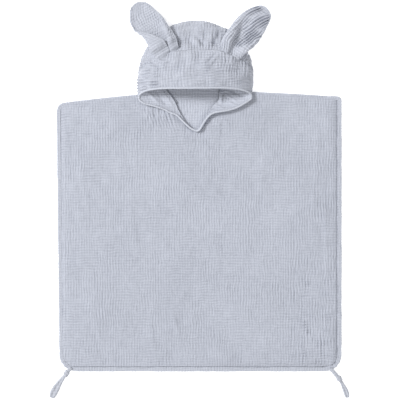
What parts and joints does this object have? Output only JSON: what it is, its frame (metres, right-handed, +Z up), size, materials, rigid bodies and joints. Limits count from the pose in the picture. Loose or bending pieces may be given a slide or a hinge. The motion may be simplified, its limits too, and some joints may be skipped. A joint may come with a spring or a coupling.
{
  "type": "hooded baby towel",
  "caption": "Poncho-style hooded towel in crinkled muslin: front and back panels, open hood with two long ears, bound neck slit and knotted corner ties.",
  "frame": {"origin": "middle of the towel's footprint, on the surface it lies on", "axes": "+X to the right as seen from above with the hood at the top, +Y from the hem to the ears, +Z up from the surface"},
  "size_m": [0.6222, 0.8342, 0.0537],
  "materials": {
    "muslin_body": "crinkled double gauze, matte",
    "muslin_hood": "crinkled double gauze, matte",
    "muslin_lining": "crinkled double gauze, matte, inner side",
    "muslin_ear": "crinkled double gauze, matte",
    "muslin_tie": "crinkled double gauze, matte, knotted",
    "binding_tape": "folded bias tape of the same muslin, stitched"
  },
  "bodies": {
    "back": {"back_panel": "muslin_body", "back_side_binding_left": "binding_tape", "back_side_binding_right": "binding_tape", "back_hem_binding": "binding_tape", "shoulder_seam_left": "muslin_body", "shoulder_seam_right": "muslin_body"},
    "front": {"front_panel": "muslin_body", "front_side_binding_left": "binding_tape", "front_side_binding_right": "binding_tape", "front_hem_binding": "binding_tape", "hood_side_left": "muslin_lining", "hood_side_right": "muslin_lining", "slit_binding_left": "binding_tape", "slit_binding_right": "binding_tape", "left_tie_knot": "muslin_tie", "right_tie_knot": "muslin_tie"},
    "hood": {"hood_back": "muslin_hood", "hood_brim": "muslin_hood", "hood_crown": "muslin_hood", "face_binding": "binding_tape"},
    "left_ear": {"left_ear_outer": "muslin_ear", "left_ear_lining": "muslin_ear"},
    "right_ear": {"right_ear_outer": "muslin_ear", "right_ear_lining": "muslin_ear"},
    "left_tail": {"left_tie_tail": "muslin_tie"},
    "right_tail": {"right_tie_tail": "muslin_tie"}
  },
  "joints": [
    {"name": "front_lift", "type": "hinge", "parent": "back", "child": "front", "pos_m": [0, 0.22373, 0.0051], "axis": [-1, 0, 0], "range_deg": [0, 60]},
    {"name": "hood_lift", "type": "hinge", "parent": "back", "child": "hood", "pos_m": [-0.0072, 0.21513, 0.007], "axis": [1, 0, 0], "range_deg": [0, 30]},
    {"name": "left_ear_flop", "type": "hinge", "parent": "hood", "child": "left_ear", "pos_m": [-0.05515, 0.2989, 0.04989], "axis": [0.8526, 0.5225, 0], "range_deg": [0, 135]},
    {"name": "right_ear_flop", "type": "hinge", "parent": "hood", "child": "right_ear", "pos_m": [0.06485, 0.2969, 0.04453], "axis": [0.809, -0.5878, 0], "range_deg": [0, 135]},
    {"name": "left_tie_swing", "type": "hinge", "parent": "front", "child": "left_tail", "pos_m": [-0.28682, -0.37893, 0.0023], "axis": [0, 0, 1], "range_deg": [-35, 35]},
    {"name": "right_tie_swing", "type": "hinge", "parent": "front", "child": "right_tail", "pos_m": [0.29297, -0.3797, 0.0023], "axis": [0, 0, 1], "range_deg": [-35, 35]}
  ]
}
